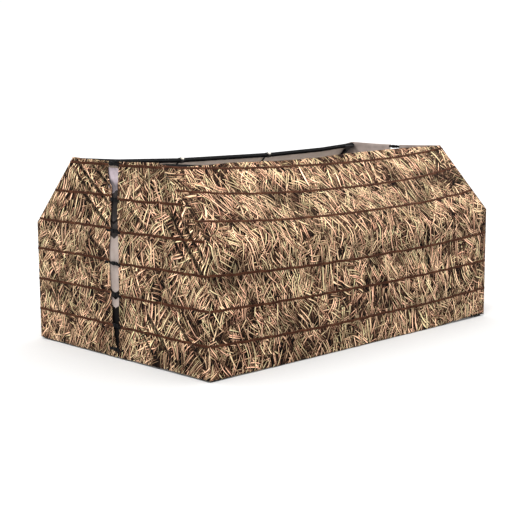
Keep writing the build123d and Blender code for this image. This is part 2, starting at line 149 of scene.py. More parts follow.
class NT:
    """Small helper for wiring nodes."""

    def __init__(self, tree):
        self.t = tree

    def node(self, kind, **props):
        n = self.t.nodes.new(kind)
        for k, v in props.items():
            setattr(n, k, v)
        return n

    def put(self, sock, value):
        if hasattr(value, "is_linked") or hasattr(value, "links"):
            self.t.links.new(value, sock)
        else:
            if sock.type == "RGBA" and len(value) == 3:
                value = (*value, 1.0)
            sock.default_value = value

    def math(self, op, a, b=None, c=None, clamp=False):
        n = self.node("ShaderNodeMath", operation=op, use_clamp=clamp)
        self.put(n.inputs[0], a)
        if b is not None:
            self.put(n.inputs[1], b)
        if c is not None:
            self.put(n.inputs[2], c)
        return n.outputs[0]

    def vmath(self, op, a, b=None):
        n = self.node("ShaderNodeVectorMath", operation=op)
        self.put(n.inputs[0], a)
        if b is not None:
            self.put(n.inputs[1], b)
        return n.outputs[0]

    def map(self, x, a, b, c=0.0, d=1.0, smooth=True):
        n = self.node("ShaderNodeMapRange", interpolation_type="SMOOTHSTEP" if smooth else "LINEAR")
        self.put(n.inputs["Value"], x)
        self.put(n.inputs["From Min"], a)
        self.put(n.inputs["From Max"], b)
        self.put(n.inputs["To Min"], c)
        self.put(n.inputs["To Max"], d)
        return n.outputs["Result"]

    def sep(self, v):
        n = self.node("ShaderNodeSeparateXYZ")
        self.put(n.inputs[0], v)
        return n.outputs

    def comb(self, x, y, z=0.0):
        n = self.node("ShaderNodeCombineXYZ")
        self.put(n.inputs[0], x)
        self.put(n.inputs[1], y)
        self.put(n.inputs[2], z)
        return n.outputs[0]

    def noise(self, v, scale, detail=2.0, rough=0.5, dims="3D"):
        n = self.node("ShaderNodeTexNoise", noise_dimensions=dims)
        self.put(n.inputs["Vector"], v)
        n.inputs["Scale"].default_value = scale
        n.inputs["Detail"].default_value = detail
        n.inputs["Roughness"].default_value = rough
        return n.outputs["Fac"], n.outputs["Color"]

    def ramp(self, x, stops, interp="LINEAR"):
        n = self.node("ShaderNodeValToRGB")
        cr = n.color_ramp
        cr.interpolation = interp
        while len(cr.elements) < len(stops):
            cr.elements.new(0.5)
        for el, (p, c) in zip(cr.elements, stops):
            el.position = p
            el.color = (*c, 1.0) if len(c) == 3 else c
        self.put(n.inputs[0], x)
        return n.outputs[0]

    def mix(self, f, a, b, mode="MIX"):
        n = self.node("ShaderNodeMix", data_type="RGBA", blend_type=mode)
        n.clamp_factor = True
        self.put(n.inputs[0], f)
        self.put(n.inputs[6], a)
        self.put(n.inputs[7], b)
        return n.outputs[2]

    def rotz(self, v, angle):
        n = self.node("ShaderNodeVectorRotate", rotation_type="Z_AXIS")
        self.put(n.inputs["Vector"], v)
        n.inputs["Angle"].default_value = angle
        return n.outputs[0]

    def bump(self, h, strength, dist, normal=None):
        n = self.node("ShaderNodeBump")
        n.inputs["Strength"].default_value = strength
        n.inputs["Distance"].default_value = dist
        self.put(n.inputs["Height"], h)
        if normal is not None:
            self.put(n.inputs["Normal"], normal)
        return n.outputs[0]

    def finish(self, color, rough=0.85, normal=None, metallic=0.0, spec=0.3, sheen=0.0, coat=0.0):
        b = self.node("ShaderNodeBsdfPrincipled")
        o = self.node("ShaderNodeOutputMaterial")
        self.put(b.inputs["Base Color"], color)
        self.put(b.inputs["Roughness"], rough)
        b.inputs["Metallic"].default_value = metallic
        b.inputs["Specular IOR Level"].default_value = spec
        b.inputs["Sheen Weight"].default_value = sheen
        b.inputs["Coat Weight"].default_value = coat
        if normal is not None:
            self.put(b.inputs["Normal"], normal)
        self.t.links.new(b.outputs[0], o.inputs[0])
        return b


def srgb(r, g, b):
    f = lambda c: c / 12.92 if c <= 0.04045 else ((c + 0.055) / 1.055) ** 2.4
    return (f(r / 255), f(g / 255), f(b / 255))




def blade_layer(h, uv, prev, hprev, k, theta, w, l, lo, hi, keep, tint, wide=0.34, patch=None):
    """One layer of tapered grass blades over what is below it. uv in metres; theta in degrees from upright."""
    w, l = w * 0.86, l * 0.97
    r = h.rotz(h.vmath("ADD", uv, (0.37 * k, 0.91 * k, 0.0)), math.radians(theta))
    x, y, _ = h.sep(r)
    warp, _ = h.noise(h.vmath("ADD", uv, (3.1 * k, 1.7 * k, 0.0)), 1.7, 0.0, 0.5, "2D")
    warp2, _ = h.noise(h.vmath("ADD", uv, (7.3 * k, 9.1 * k, 0.0)), 6.0, 0.0, 0.5, "2D")
    x = h.math("ADD", x, h.math("MULTIPLY", h.math("SUBTRACT", warp, 0.5), 0.22))
    x = h.math("ADD", x, h.math("MULTIPLY", h.math("SUBTRACT", warp2, 0.5), 0.034))
    p = h.comb(h.math("DIVIDE", x, w), h.math("DIVIDE", y, l))
    v = h.node("ShaderNodeTexVoronoi", voronoi_dimensions="2D", feature="F1")
    h.put(v.inputs["Vector"], p)
    v.inputs["Scale"].default_value = 1.0
    v.inputs["Randomness"].default_value = 0.92
    d = h.vmath("SUBTRACT", p, v.outputs["Position"])
    dx, dy, _ = h.sep(d)
    rr, rg, rb = h.sep(v.outputs["Color"])
    dy2 = h.math("MULTIPLY", dy, dy)
    dx = h.math("ADD", dx, h.math("MULTIPLY", dy2, h.math("MULTIPLY", h.math("SUBTRACT", rb, 0.5), 1.1)))
    taper = h.math("SUBTRACT", 1.0, h.math("MULTIPLY", dy2, 2.6), clamp=True)
    half = h.math("MULTIPLY", h.math("ADD", h.math("MULTIPLY", rr, wide * 0.7), wide * 0.5), taper)
    half = h.math("MAXIMUM", half, 0.0001)
    side = h.math("DIVIDE", dx, half)
    e = h.math("ABSOLUTE", side)
    mask = h.map(e, 0.86, 1.02, 1.0, 0.0)
    seen = h.math("LESS_THAN", h.math("FRACT", h.math("MULTIPLY", h.math("ADD", rr, rb), 7.31)), keep)
    if patch is not None:
        pn, _ = h.noise(h.vmath("ADD", uv, (5.0 * k, 2.0, 0.0)), 3.2, 1.0, 0.5, "2D")
        seen = h.math("MULTIPLY", seen, h.math("GREATER_THAN", pn, patch))
    mask = h.math("MULTIPLY", mask, seen)
    # dark edge cast to one side on what is below
    se = h.math("DIVIDE", h.math("ABSOLUTE", h.math("ADD", dx, 0.12)), h.math("MULTIPLY", half, 1.9))
    shadow = h.math("MULTIPLY", h.map(se, 0.55, 1.0, SHADE, 0.0), seen)
    below = h.mix(shadow, prev, srgb(24, 12, 4))
    # blade colour: palette, light along one edge, fibres along its length, paler at the tip
    fib, _ = h.noise(h.comb(h.math("MULTIPLY", x, 500.0), h.math("MULTIPLY", y, 20.0)), 1.0, 0.0, 0.6, "2D")
    lum = h.math("ADD", h.math("MULTIPLY", rg, hi - lo), lo)
    lum = h.math("MULTIPLY", lum, h.map(side, -0.9, 0.9, 1.2, 0.62, smooth=False))
    lum = h.math("MULTIPLY", lum, h.math("ADD", h.math("MULTIPLY", fib, 0.5), 0.75))
    lum = h.math("MULTIPLY", lum, h.map(dy, -0.55, 0.45, 0.72, 1.15, smooth=False))
    base = h.ramp(lum, BLADE)
    hue = h.mix(rb, tint[0], tint[1])
    col = h.mix(1.0, base, hue, "MULTIPLY")
    out = h.mix(mask, below, col)
    height = h.math("MAXIMUM", hprev, h.math("MULTIPLY", mask, 0.4 + 0.05 * k))
    return out, height


SHADE = 0.95
CONTRAST = 2.30
PRINT_GAIN = (1.10, 1.11, 1.09)
BLADE = [(0.0, srgb(30, 17, 8)), (0.15, srgb(76, 54, 36)), (0.35, srgb(124, 100, 80)), (0.58, srgb(176, 150, 128)), (0.8, srgb(226, 202, 180)), (1.0, srgb(255, 240, 222))]
WARM = ((1.13, 0.96, 0.87), (0.94, 1.01, 0.85))


def camo_group():
    g = bpy.data.node_groups.new("grass_print", "ShaderNodeTree")
    g.interface.new_socket("Vector", in_out="INPUT", socket_type="NodeSocketVector")
    g.interface.new_socket("Color", in_out="OUTPUT", socket_type="NodeSocketColor")
    g.interface.new_socket("Height", in_out="OUTPUT", socket_type="NodeSocketFloat")
    h = NT(g)
    gi = h.node("NodeGroupInput")
    go = h.node("NodeGroupOutput")
    uv = gi.outputs[0]
    n1, _ = h.noise(uv, 24.0, 3.0, 0.6, "2D")
    n2, _ = h.noise(h.vmath("ADD", uv, (11.0, 5.0, 0.0)), 2.8, 2.0, 0.5, "2D")
    ground = h.ramp(n1, [(0.3, srgb(20, 10, 3)), (0.5, srgb(36, 22, 10)), (0.65, srgb(62, 46, 28)), (0.8, srgb(92, 72, 50))])
    ground = h.mix(h.map(n2, 0.45, 0.65, 0.0, 0.6), ground, srgb(48, 44, 26))
    col, hg = ground, 0.0
    layers = [
        # theta, w, l, lo, hi, keep, wide, patch
        (24, 0.025, 0.12, 0.08, 0.44, 0.58, 0.36, None),
        (-28, 0.025, 0.11, 0.08, 0.46, 0.58, 0.36, None),
        (4, 0.024, 0.12, 0.12, 0.56, 0.52, 0.34, None),
        (58, 0.022, 0.10, 0.16, 0.66, 0.60, 0.34, 0.46),
        (-50, 0.022, 0.11, 0.16, 0.70, 0.60, 0.34, 0.46),
        (16, 0.021, 0.12, 0.20, 0.84, 0.46, 0.32, None),
        (-22, 0.021, 0.12, 0.20, 0.90, 0.46, 0.32, None),
        (42, 0.020, 0.12, 0.30, 1.0, 0.60, 0.31, 0.47),
        (-40, 0.020, 0.13, 0.30, 1.0, 0.66, 0.31, 0.45),
        (2, 0.020, 0.13, 0.36, 1.1, 0.44, 0.30, 0.46),
        (78, 0.019, 0.10, 0.35, 1.0, 0.50, 0.30, 0.50),
        (28, 0.019, 0.17, 0.65, 1.3, 0.40, 0.26, 0.44),
        (-30, 0.019, 0.18, 0.65, 1.3, 0.48, 0.26, 0.43),
        (-58, 0.019, 0.15, 0.60, 1.2, 0.40, 0.26, 0.50),
        (-4, 0.024, 0.20, 0.75, 1.35, 0.24, 0.22, 0.46),
    ]
    for k, (th, w, l, lo, hi, keep, wide, patch) in enumerate(layers, 1):
        col, hg = blade_layer(h, uv, col, hg, k, th, w, l, lo, hi, keep, WARM, wide, patch)
    # broad light and dark drifts, as a printed pattern has
    n3, _ = h.noise(h.vmath("ADD", uv, (2.0, 8.0, 0.0)), 3.4, 1.0, 0.5, "2D")
    col = h.mix(h.map(n3, 0.50, 0.70, 0.0, 0.42), col, h.mix(1.0, col, (0.40, 0.38, 0.32, 1.0), "MULTIPLY"))
    gm = h.node("ShaderNodeGamma")
    h.put(gm.inputs[0], col)
    gm.inputs[1].default_value = CONTRAST
    hs = h.node("ShaderNodeHueSaturation")
    hs.inputs["Saturation"].default_value = 0.80
    h.put(hs.inputs["Color"], gm.outputs[0])
    col = h.mix(1.0, hs.outputs[0], (PRINT_GAIN[0], PRINT_GAIN[1], PRINT_GAIN[2], 1.0), "MULTIPLY")
    h.put(go.inputs[0], col)
    h.put(go.inputs[1], hg)
    return g


GRASS = None


def fabric_camo(name, gain=(1.0, 1.0, 1.0)):
    global GRASS
    if GRASS is None:
        GRASS = camo_group()
    m, nt = new_mat(name)
    h = NT(nt)
    uvn = h.node("ShaderNodeUVMap", uv_map="cloth")
    grp = h.node("ShaderNodeGroup")
    grp.node_tree = GRASS
    h.put(grp.inputs[0], uvn.outputs[0])
    col = grp.outputs[0]
    if gain != (1.0, 1.0, 1.0):
        col = h.mix(1.0, col, (*gain, 1.0), "MULTIPLY")
    # painted shade in the hollows of folds and along the straps, painted highlight on ridges and pillows, from the
    # cavity attribute
    cav = h.node("ShaderNodeAttribute", attribute_name="cavity").outputs["Fac"]
    dark = h.math("MULTIPLY", h.math("MINIMUM", cav, 0.0), 0.80)
    painted_ridge_highlight = h.math("MULTIPLY", h.math("MAXIMUM", cav, 0.0), 0.65)
    k = h.math("ADD", h.math("ADD", 1.0, dark), painted_ridge_highlight)
    col = h.vmath("MULTIPLY", col, h.comb(k, k, k))
    _, vv, _ = h.sep(uvn.outputs[0])
    band = h.math("SINE", h.math("MULTIPLY", h.math("ADD", vv, -0.35), 2 * math.pi / 0.47))
    band = h.math("ADD", 0.93, h.math("MULTIPLY", band, 0.10))
    col = h.vmath("MULTIPLY", col, h.comb(band, band, band))
    # oxford weave: 0.8 mm yarns, over and under
    x, y, _ = h.sep(uvn.outputs[0])
    wx = h.math("SINE", h.math("MULTIPLY", x, 2 * math.pi / 0.0016))
    wy = h.math("SINE", h.math("MULTIPLY", y, 2 * math.pi / 0.0016))
    weave = h.math("MULTIPLY", wx, wy)
    fine, _ = h.noise(uvn.outputs[0], 900.0, 1.0, 0.6, "2D")
    soil, _ = h.noise(uvn.outputs[0], 1.6, 4.0, 0.6, "2D")
    col = h.mix(h.map(weave, -1.0, 1.0, 0.10, 0.0, smooth=False), col, srgb(40, 28, 18))
    col = h.mix(h.map(soil, 0.55, 0.8, 0.0, 0.22), col, srgb(92, 76, 58))
    hgt = h.math("ADD", h.math("MULTIPLY", weave, 0.5), h.math("MULTIPLY", fine, 0.5))
    nrm = h.bump(hgt, 0.25, 0.0006)
    rough = h.map(fine, 0.2, 0.8, 0.78, 0.92, smooth=False)
    h.finish(col, rough, nrm, spec=0.06)
    return m


def fabric_plain(name, base, dark, light, yarn=0.0014, sheen=0.1, rough=(0.72, 0.88), uv=True, crease=0.25, spec=0.3):
    m, nt = new_mat(name)
    h = NT(nt)
    if uv:
        src = h.node("ShaderNodeUVMap", uv_map="cloth").outputs[0]
    else:
        src = h.node("ShaderNodeTexCoord").outputs["Object"]
    x, y, z = h.sep(src)
    wx = h.math("SINE", h.math("MULTIPLY", x, 2 * math.pi / yarn))
    wy = h.math("SINE", h.math("MULTIPLY", y if uv else h.math("ADD", y, z), 2 * math.pi / yarn))
    weave = h.math("MULTIPLY", wx, wy)
    big, _ = h.noise(src, 4.0, 4.0, 0.6)
    fine, _ = h.noise(src, 500.0, 2.0, 0.6)
    col = h.ramp(big, [(0.25, dark), (0.5, base), (0.75, light)])
    col = h.mix(h.map(weave, -1.0, 1.0, 0.22, 0.0, smooth=False), col, dark)
    col = h.mix(h.map(fine, 0.35, 0.75, 0.0, 0.15), col, light)
    # painted shade in hollows and painted highlight on ridges, from the cavity attribute
    cav = h.node("ShaderNodeAttribute", attribute_name="cavity").outputs["Fac"]
    k = h.math("ADD", h.math("ADD", 1.0, h.math("MULTIPLY", h.math("MINIMUM", cav, 0.0), 0.66)), h.math("MULTIPLY", h.math("MAXIMUM", cav, 0.0), 0.30))
    col = h.vmath("MULTIPLY", col, h.comb(k, k, k))
    cr, _ = h.noise(src, 16.0, 3.0, 0.55)
    hgt = h.math("ADD", h.math("MULTIPLY", weave, 0.12), h.math("MULTIPLY", cr, crease * 4.0))
    nrm = h.bump(hgt, 0.35, 0.002)
    h.finish(col, h.map(fine, 0.2, 0.8, rough[0], rough[1], smooth=False), nrm, spec=spec, sheen=sheen)
    return m


def webbing(name, base, dark, light, thread_col):
    """Flat woven webbing: fine ribs, stitch rows near both edges and bar tacks."""
    m, nt = new_mat(name)
    h = NT(nt)
    src = h.node("ShaderNodeUVMap", uv_map="cloth").outputs[0]
    x, y, _ = h.sep(src)
    rib = h.math("SINE", h.math("MULTIPLY", x, 2 * math.pi / 0.0022))
    rib2 = h.math("SINE", h.math("MULTIPLY", y, 2 * math.pi / 0.0018))
    big, _ = h.noise(src, 9.0, 3.0, 0.6)
    fine, _ = h.noise(src, 700.0, 1.0, 0.6)
    col = h.ramp(big, [(0.3, dark), (0.5, base), (0.72, light)])
    col = h.mix(h.map(h.math("MULTIPLY", rib, rib2), -1.0, 1.0, 0.35, 0.0, smooth=False), col, dark)
    col = h.mix(h.map(fine, 0.5, 0.9, 0.0, 0.25), col, light)
    # lock-stitch rows near both edges, and a bar tack every 152 mm
    row = h.map(h.math("ABSOLUTE", h.math("SUBTRACT", h.math("ABSOLUTE", y), 0.0062)), 0.00035, 0.00060, 1.0, 0.0)
    dash = h.map(h.math("ABSOLUTE", h.math("SUBTRACT", h.math("FRACT", h.math("DIVIDE", x, 0.0034)), 0.5)), 0.30, 0.36, 1.0, 0.0)
    ph = h.math("MULTIPLY", h.math("ABSOLUTE", h.math("SUBTRACT", h.math("FRACT", h.math("ADD", h.math("DIVIDE", x, 0.152), 0.5)), 0.5)), 0.152)
    tack = h.math("MULTIPLY", h.map(ph, 0.0030, 0.0036, 1.0, 0.0), h.map(h.math("ABSOLUTE", y), 0.0060, 0.0068, 1.0, 0.0))
    tack = h.math("MULTIPLY", tack, h.map(h.math("SINE", h.math("MULTIPLY", h.math("ADD", x, h.math("MULTIPLY", h.math("PINGPONG", y, 0.0004), 2.0)), 2 * math.pi / 0.0011)), -0.3, 0.4, 0.35, 1.0))
    thread = h.math("MAXIMUM", h.math("MULTIPLY", row, dash), tack)
    col = h.mix(h.math("MULTIPLY", thread, 0.75), col, thread_col)
    nrm = h.bump(h.math("ADD", h.math("ADD", rib, h.math("MULTIPLY", rib2, 0.5)), h.math("MULTIPLY", thread, 2.5)), 0.4, 0.0005)
    h.finish(col, h.map(fine, 0.2, 0.8, 0.7, 0.9, smooth=False), nrm, spec=0.08)
    return m


def hard(name, base, light, rough, metallic=0.0, grain=260.0, bumpd=0.0004, spec=0.5, wear=0.0, wearcol=(0.4, 0.4, 0.4)):
    """Painted, plated or moulded surface: fine grain, handling marks, rubbed edges."""
    m, nt = new_mat(name)
    h = NT(nt)
    src = h.node("ShaderNodeTexCoord").outputs["Object"]
    n1, _ = h.noise(src, grain, 2.0, 0.55)
    n2, _ = h.noise(src, 7.0, 4.0, 0.65)
    n3, _ = h.noise(src, 60.0, 3.0, 0.7)
    col = h.mix(h.map(n2, 0.35, 0.75, 0.0, 1.0), (*base, 1.0), (*light, 1.0))
    if wear > 0:
        geo = h.node("ShaderNodeNewGeometry")
        edge = h.map(geo.outputs["Pointiness"], 0.51, 0.56, 0.0, 1.0)
        col = h.mix(h.math("MULTIPLY", h.math("MULTIPLY", edge, n3), wear), col, (*wearcol, 1.0))
    r = h.math("ADD", h.math("MULTIPLY", n3, 0.22), rough - 0.11)
    nrm = h.bump(n1, 0.25, bumpd)
    h.finish(col, r, nrm, metallic=metallic, spec=spec)
    return m


M_CAMO = fabric_camo("grass_camo")
M_LINING = fabric_plain("grey_lining", srgb(156, 143, 136), srgb(132, 120, 114), srgb(176, 163, 156), crease=0.2, spec=0.15, sheen=0.0)
# a much lighter copy of the grey lining for the inner faces of the long covers: painted light
M_LINING_PAINTED_LIGHT = fabric_plain("grey_lining_inner_painted_light", srgb(226, 213, 203), srgb(200, 187, 177), srgb(240, 229, 220), crease=0.25, spec=0.12, sheen=0.0)
# another colouring of the grey lining for the bunched top of the placket; its wider pale-to-dark range is painted
# highlight and painted shade
M_BUNCH = fabric_plain("grey_lining_bunched", srgb(160, 148, 153), srgb(100, 89, 97), srgb(206, 197, 202), crease=0.5, spec=0.15, sheen=0.0)
# a darkened copy of the lining: painted shade on the middle band of the placket
M_PLACKET_SHADE = fabric_plain("placket_painted_shade", srgb(44, 40, 39), srgb(18, 16, 15), srgb(78, 73, 71), crease=0.5, spec=0.1, sheen=0.0)
M_STRAP = webbing("brown_webbing", srgb(62, 33, 20), srgb(36, 17, 9), srgb(98, 62, 42), srgb(92, 66, 46))
M_BLACKWEB = webbing("black_webbing", srgb(14, 13, 13), srgb(6, 6, 6), srgb(28, 26, 26), srgb(34, 33, 33))
# near-black sheet: painted shadow on the placket where the slit shows the dark inside
M_PLACKET_SHADOW = fabric_plain("placket_painted_shadow", srgb(13, 11, 11), srgb(5, 4, 4), srgb(24, 21, 20), crease=0.4, spec=0.06, sheen=0.0)
M_TUBE = hard("black_tube", (0.0010, 0.0010, 0.0011), (0.0024, 0.0024, 0.0026), 0.62, 0.0, grain=420.0, spec=0.006, wear=0.4, wearcol=(0.05, 0.05, 0.052))
M_STEEL = hard("black_zinc", (0.008, 0.008, 0.009), (0.016, 0.016, 0.017), 0.5, 0.25, grain=500.0, spec=0.1, wear=0.7, wearcol=(0.16, 0.16, 0.165))
M_PLASTIC = hard("black_plastic", (0.003, 0.003, 0.0033), (0.007, 0.007, 0.0075), 0.5, 0.0, grain=700.0, spec=0.06)
M_RUBBER = hard("foot_rubber", (0.022, 0.021, 0.020), (0.045, 0.042, 0.038), 0.8, 0.0, grain=900.0)
M_PALE = hard("pale_plastic", srgb(206, 200, 190), srgb(178, 170, 158), 0.45, 0.0, grain=400.0)

SLOT_MAT = {"frame_tube": M_TUBE, "steel_hardware": M_STEEL, "black_plastic": M_PLASTIC, "foot_rubber": M_RUBBER, "pale_plastic": M_PALE}
subslot = {sp["node"]: sp["material_slot"] for sp in frame["record"]["subparts"]}
for node, ob in frame["nodes"].items():
    mat = SLOT_MAT.get(subslot.get(node))
    if mat is not None and ob.type == "MESH":
        ob.data.materials.clear()
        ob.data.materials.append(mat)


# ---------------------------------------------------------------- mesh helpers
def grid_mesh(name, P, UV, mats, thick=0.0014, lining=True, flip=False, offset=-1.0, cavity=None):
    """A quad sheet from an array of points P[j][i] with uv in metres; solidified inwards with the lining on the back."""
    ny, nx = P.shape[:2]
    verts = P.reshape(-1, 3)
    idx = np.arange(ny * nx).reshape(ny, nx)
    a, b, c, d = idx[:-1, :-1], idx[:-1, 1:], idx[1:, 1:], idx[1:, :-1]
    faces = np.stack([a, b, c, d], -1).reshape(-1, 4)
    if flip:
        faces = faces[:, ::-1]
    me = bpy.data.meshes.new(name)
    me.from_pydata(verts.tolist(), [], faces.tolist())
    uvl = me.uv_layers.new(name="cloth")
    loops = np.zeros(len(me.loops), dtype=np.int32)
    me.loops.foreach_get("vertex_index", loops)
    uvl.data.foreach_set("uv", UV.reshape(-1, 2)[loops].astype(np.float32).ravel())
    if cavity is not None:
        at = me.attributes.new("cavity", "FLOAT", "POINT")
        at.data.foreach_set("value", np.clip(cavity, -1, 1).astype(np.float32).ravel())
    for mt in mats:
        me.materials.append(mt)
    me.polygons.foreach_set("use_smooth", [True] * len(me.polygons))
    ob = bpy.data.objects.new(name, me)
    bpy.context.scene.collection.objects.link(ob)
    if thick > 0:
        so = ob.modifiers.new("thickness", "SOLIDIFY")
        so.thickness = thick
        so.offset = offset
        so.use_even_offset = False
        so.material_offset = 1 if lining and len(mats) > 1 else 0
        so.material_offset_rim = 0
    return ob


def cavity_of(r, step, scale):
    """How far each grid point sits below (-) or above (+) its neighbourhood."""
    wj, wi = step
    pad = np.pad(r, ((wj, wj), (wi, wi)), mode="edge")
    c = np.cumsum(np.cumsum(np.pad(pad, ((1, 0), (1, 0))), 0), 1)
    n, m = r.shape
    a, b = 2 * wj + 1, 2 * wi + 1
    mean = (c[a:a + n, b:b + m] - c[:n, b:b + m] - c[a:a + n, :m] + c[:n, :m]) / (a * b)
    return (r - mean) / scale


def apply_mods(ob):
    dg = bpy.context.evaluated_depsgraph_get()
    me = bpy.data.meshes.new_from_object(ob.evaluated_get(dg))
    ob.modifiers.clear()
    old = ob.data
    ob.data = me
    bpy.data.meshes.remove(old)
    ob.data.name = ob.name
    return ob


def shape(x, half=COVER_X, p=2.2):
    return 1.0 - np.minimum(1.0, np.abs(x) / half) ** p


# ---------------------------------------------------------------- long covers
def hem_z(s, x):
    w = 0.5 + 0.5 * fnoise(x * 2.1 + 3 * s, 0.3, 11 + s, 2)
    return 0.011 - 0.008 * shape(x, p=2.6) + 0.002 * w + (0.014 * sstep(0.8, 1.5, x) if s < 0 else 0.0)


def crease_z(x):
    return KNEE_OUT - 0.038 * shape(x, p=2.6)


NEAR_SAG = ([-1.5272, -1.46, -1.38, -1.25, -1.138, -0.897, -0.654, -0.402, -0.253, -0.021, 0.149, 0.48, 0.745, 1.01, 1.30, 1.5272],
            [0.010, 0.034, 0.045, 0.045, 0.043, 0.038, 0.042, 0.050, 0.049, 0.043, 0.030, 0.020, 0.010, 0.004, 0.002, 0.004])


def smooth_interp(x, px, py, w=0.05):
    return (np.interp(x, px, py) * 2 + np.interp(x - w, px, py) + np.interp(x + w, px, py)) / 4


def top_sag(s, x):
    if s < 0:
        return smooth_interp(x, *NEAR_SAG)
    a = np.abs(x)
    rail = smooth_interp(a, [0.0, 0.512, 1.12, 1.45, 1.53], [0.062, 0.062, 0.034, 0.0, 0.0])
    return rail + 0.022 * sstep(1.53, 1.40, a)


def long_uv(x, v):
    return x + 1.6, v


def long_base(s, x, q):
    """Point without relief on the outer face of a long cover: q 0 hem, 1 crease, 2 top edge.  Returns y_out, z, v."""
    zh, zk = hem_z(s, x), crease_z(x)
    ty = FRAME_Y - SS * (T_TOP - top_sag(s, x)) + CS * 0.024
    tz = KNEE_Z + CS * (T_TOP - top_sag(s, x)) + SS * 0.024
    qa, qb = np.clip(q, 0, 1), np.clip(q - 1, 0, 1)
    y = HALF_W + (ty - HALF_W) * qb
    z = zh + (zk - zh) * qa + (tz - zk) * qb
    v = zh + (zk - zh) * qa + np.hypot(ty - HALF_W, tz - zk) * qb
    return y, z, v


def strap_q(s, row, x):
    """q of a strap's centre line at x."""
    zh, zk = hem_z(s, x), crease_z(x)
    if row < 3:
        dip = (0.030, 0.026, 0.040)[row]
        z = WALL_STRAP_Z[row] - dip * shape(x, p=2.4) + 0.0045 * fnoise(x * 6.0, 1.0, 31 + row + s, 3)
        return (z - zh) / (zk - zh)
    # roof rows: distance below the top edge or above the crease, in metres along the slope
    L = 0.699
    if row == 3:
        d = 0.30 - 0.062 / L * shape(x, p=2.4)
    elif row == 4:
        d = 0.662 - 0.082 / L * shape(x, p=2.6)
    else:
        d = 0.955 - 0.052 / L * shape(x, p=2.6)
    d = d + 0.0060 * fnoise(x * 6.0, 2.0, 41 + row + s, 3)
    # straps are placed against the flat pattern, so take the crease's own drop out again
    drop = 0.038 * shape(x, p=2.6)
    sag = top_sag(s, x)
    length = L - sag + drop * 0.73
    return 1 + (d * L + drop * 0.73 * (1 - d)) / length




def rows_at(s, x):
    return np.stack([strap_q(s, r, x) for r in range(6)], 0)


def relief(s, x, q, v):
    """How far the cloth stands out from its plane: pillows between straps, pulled folds, fine crumple."""
    rq = rows_at(s, x)
    edges = np.concatenate([np.zeros((1,) + x.shape), rq, np.full((1,) + x.shape, 2.0)], 0)
    pil = np.zeros_like(x)
    for k in range(edges.shape[0] - 1):
        lo, hi = edges[k], edges[k + 1]
        t = np.clip((q - lo) / np.maximum(hi - lo, 1e-6), 0, 1)
        inside = (q >= lo) & (q < hi)
        pil = np.where(inside, np.sin(math.pi * t) ** 0.8, pil)
    cell = 0.6 + 0.4 * fnoise(x * 1.3 + 5, v * 4.0, 5 + s, 2)
    out = 0.0042 * pil * cell
    # the knee bends over a soft radius instead of a knife edge
    out = out - 0.006 * np.exp(-((q - 1.0) / 0.035) ** 2)
    # slanting tension folds, long and shallow
    a = x * 0.55 + v * 0.83
    b = -x * 0.83 + v * 0.55
    out = out + 0.0030 * fnoise(a * 2.4 + 9, b * 9.0, 7 + s, 2)
    out = out + 0.0022 * fnoise(b * 2.6 + 2, a * 8.0, 8 + s, 2)
    # short upright puckers under and over each strap
    near = np.exp(-(np.min(np.abs(q[None] - rq), 0) / 0.05) ** 2)
    out = out + 0.0016 * near * fnoise(x * 22.0, v * 5.0, 13 + s, 2)
    out = out - 0.0014 * near
    out = out + 0.0008 * fnoise(x * 30.0, v * 30.0, 19 + s, 2)
    # loose hem: gentle flutes
    low = 1 - sstep(0.0, 0.16, q)
    out = out + low * (0.006 * fnoise(x * 3.3, 0.7, 23 + s, 2) + 0.002 * fnoise(x * 12.0, 0.2, 24 + s, 1))
    # calm at the ends where it is sewn round the corner
    calm = sstep(COVER_X, COVER_X - 0.10, np.abs(x))
    return out * (0.25 + 0.75 * calm)


def long_offset(s, x, q, v):
    return floor_to(relief(s, x, q, v), -0.004 + 0.0025 * sstep(1.30, 1.42, np.abs(x)))


def long_point(s, x, q, lift=0.0):
    x = np.asarray(x, float)
    q = np.broadcast_to(np.asarray(q, float), x.shape)
    y, z, v = long_base(s, x, q)
    r = long_offset(s, x, q, v) + lift
    # normal of the section: out on the wall, up and out on the roof, turning over at the knee
    w = sstep(0.975, 1.03, q)
    ny, nz = (1 - w) + w * CS, w * SS
    n = np.hypot(ny, nz)
    y, z = y + r * ny / n, z + r * nz / n
    return np.stack([x, s * y, z], -1), v


def build_long(name, s):
    nx = 306
    xs = np.linspace(-COVER_X, COVER_X, nx)
    qs = np.concatenate([np.linspace(0, 0.94, 86), np.linspace(0.95, 1.05, 14), np.linspace(1.06, 2.0, 74)])
    X, Q = np.meshgrid(xs, qs)
    P, v = long_point(s, X, Q)
    _, _, v0 = long_base(s, X, Q)
    # cavity attribute drives painted shade in hollows and painted highlight on ridges; none painted at the knee
    cav = cavity_of(relief(s, X, Q, v0), (4, 4), 0.0042)
    cav = cav * (1 - np.exp(-((Q - 1.0) / 0.08) ** 2))
    u, vv = long_uv(X * (-s) + (5.0 if s > 0 else 0.0), v)
    UV = np.stack([u, vv], -1)
    ob = grid_mesh(name, P, UV, [M_CAMO, M_LINING_PAINTED_LIGHT], 0.0014, True, flip=(s > 0), cavity=cav)
    apply_mods(ob)
    return ob


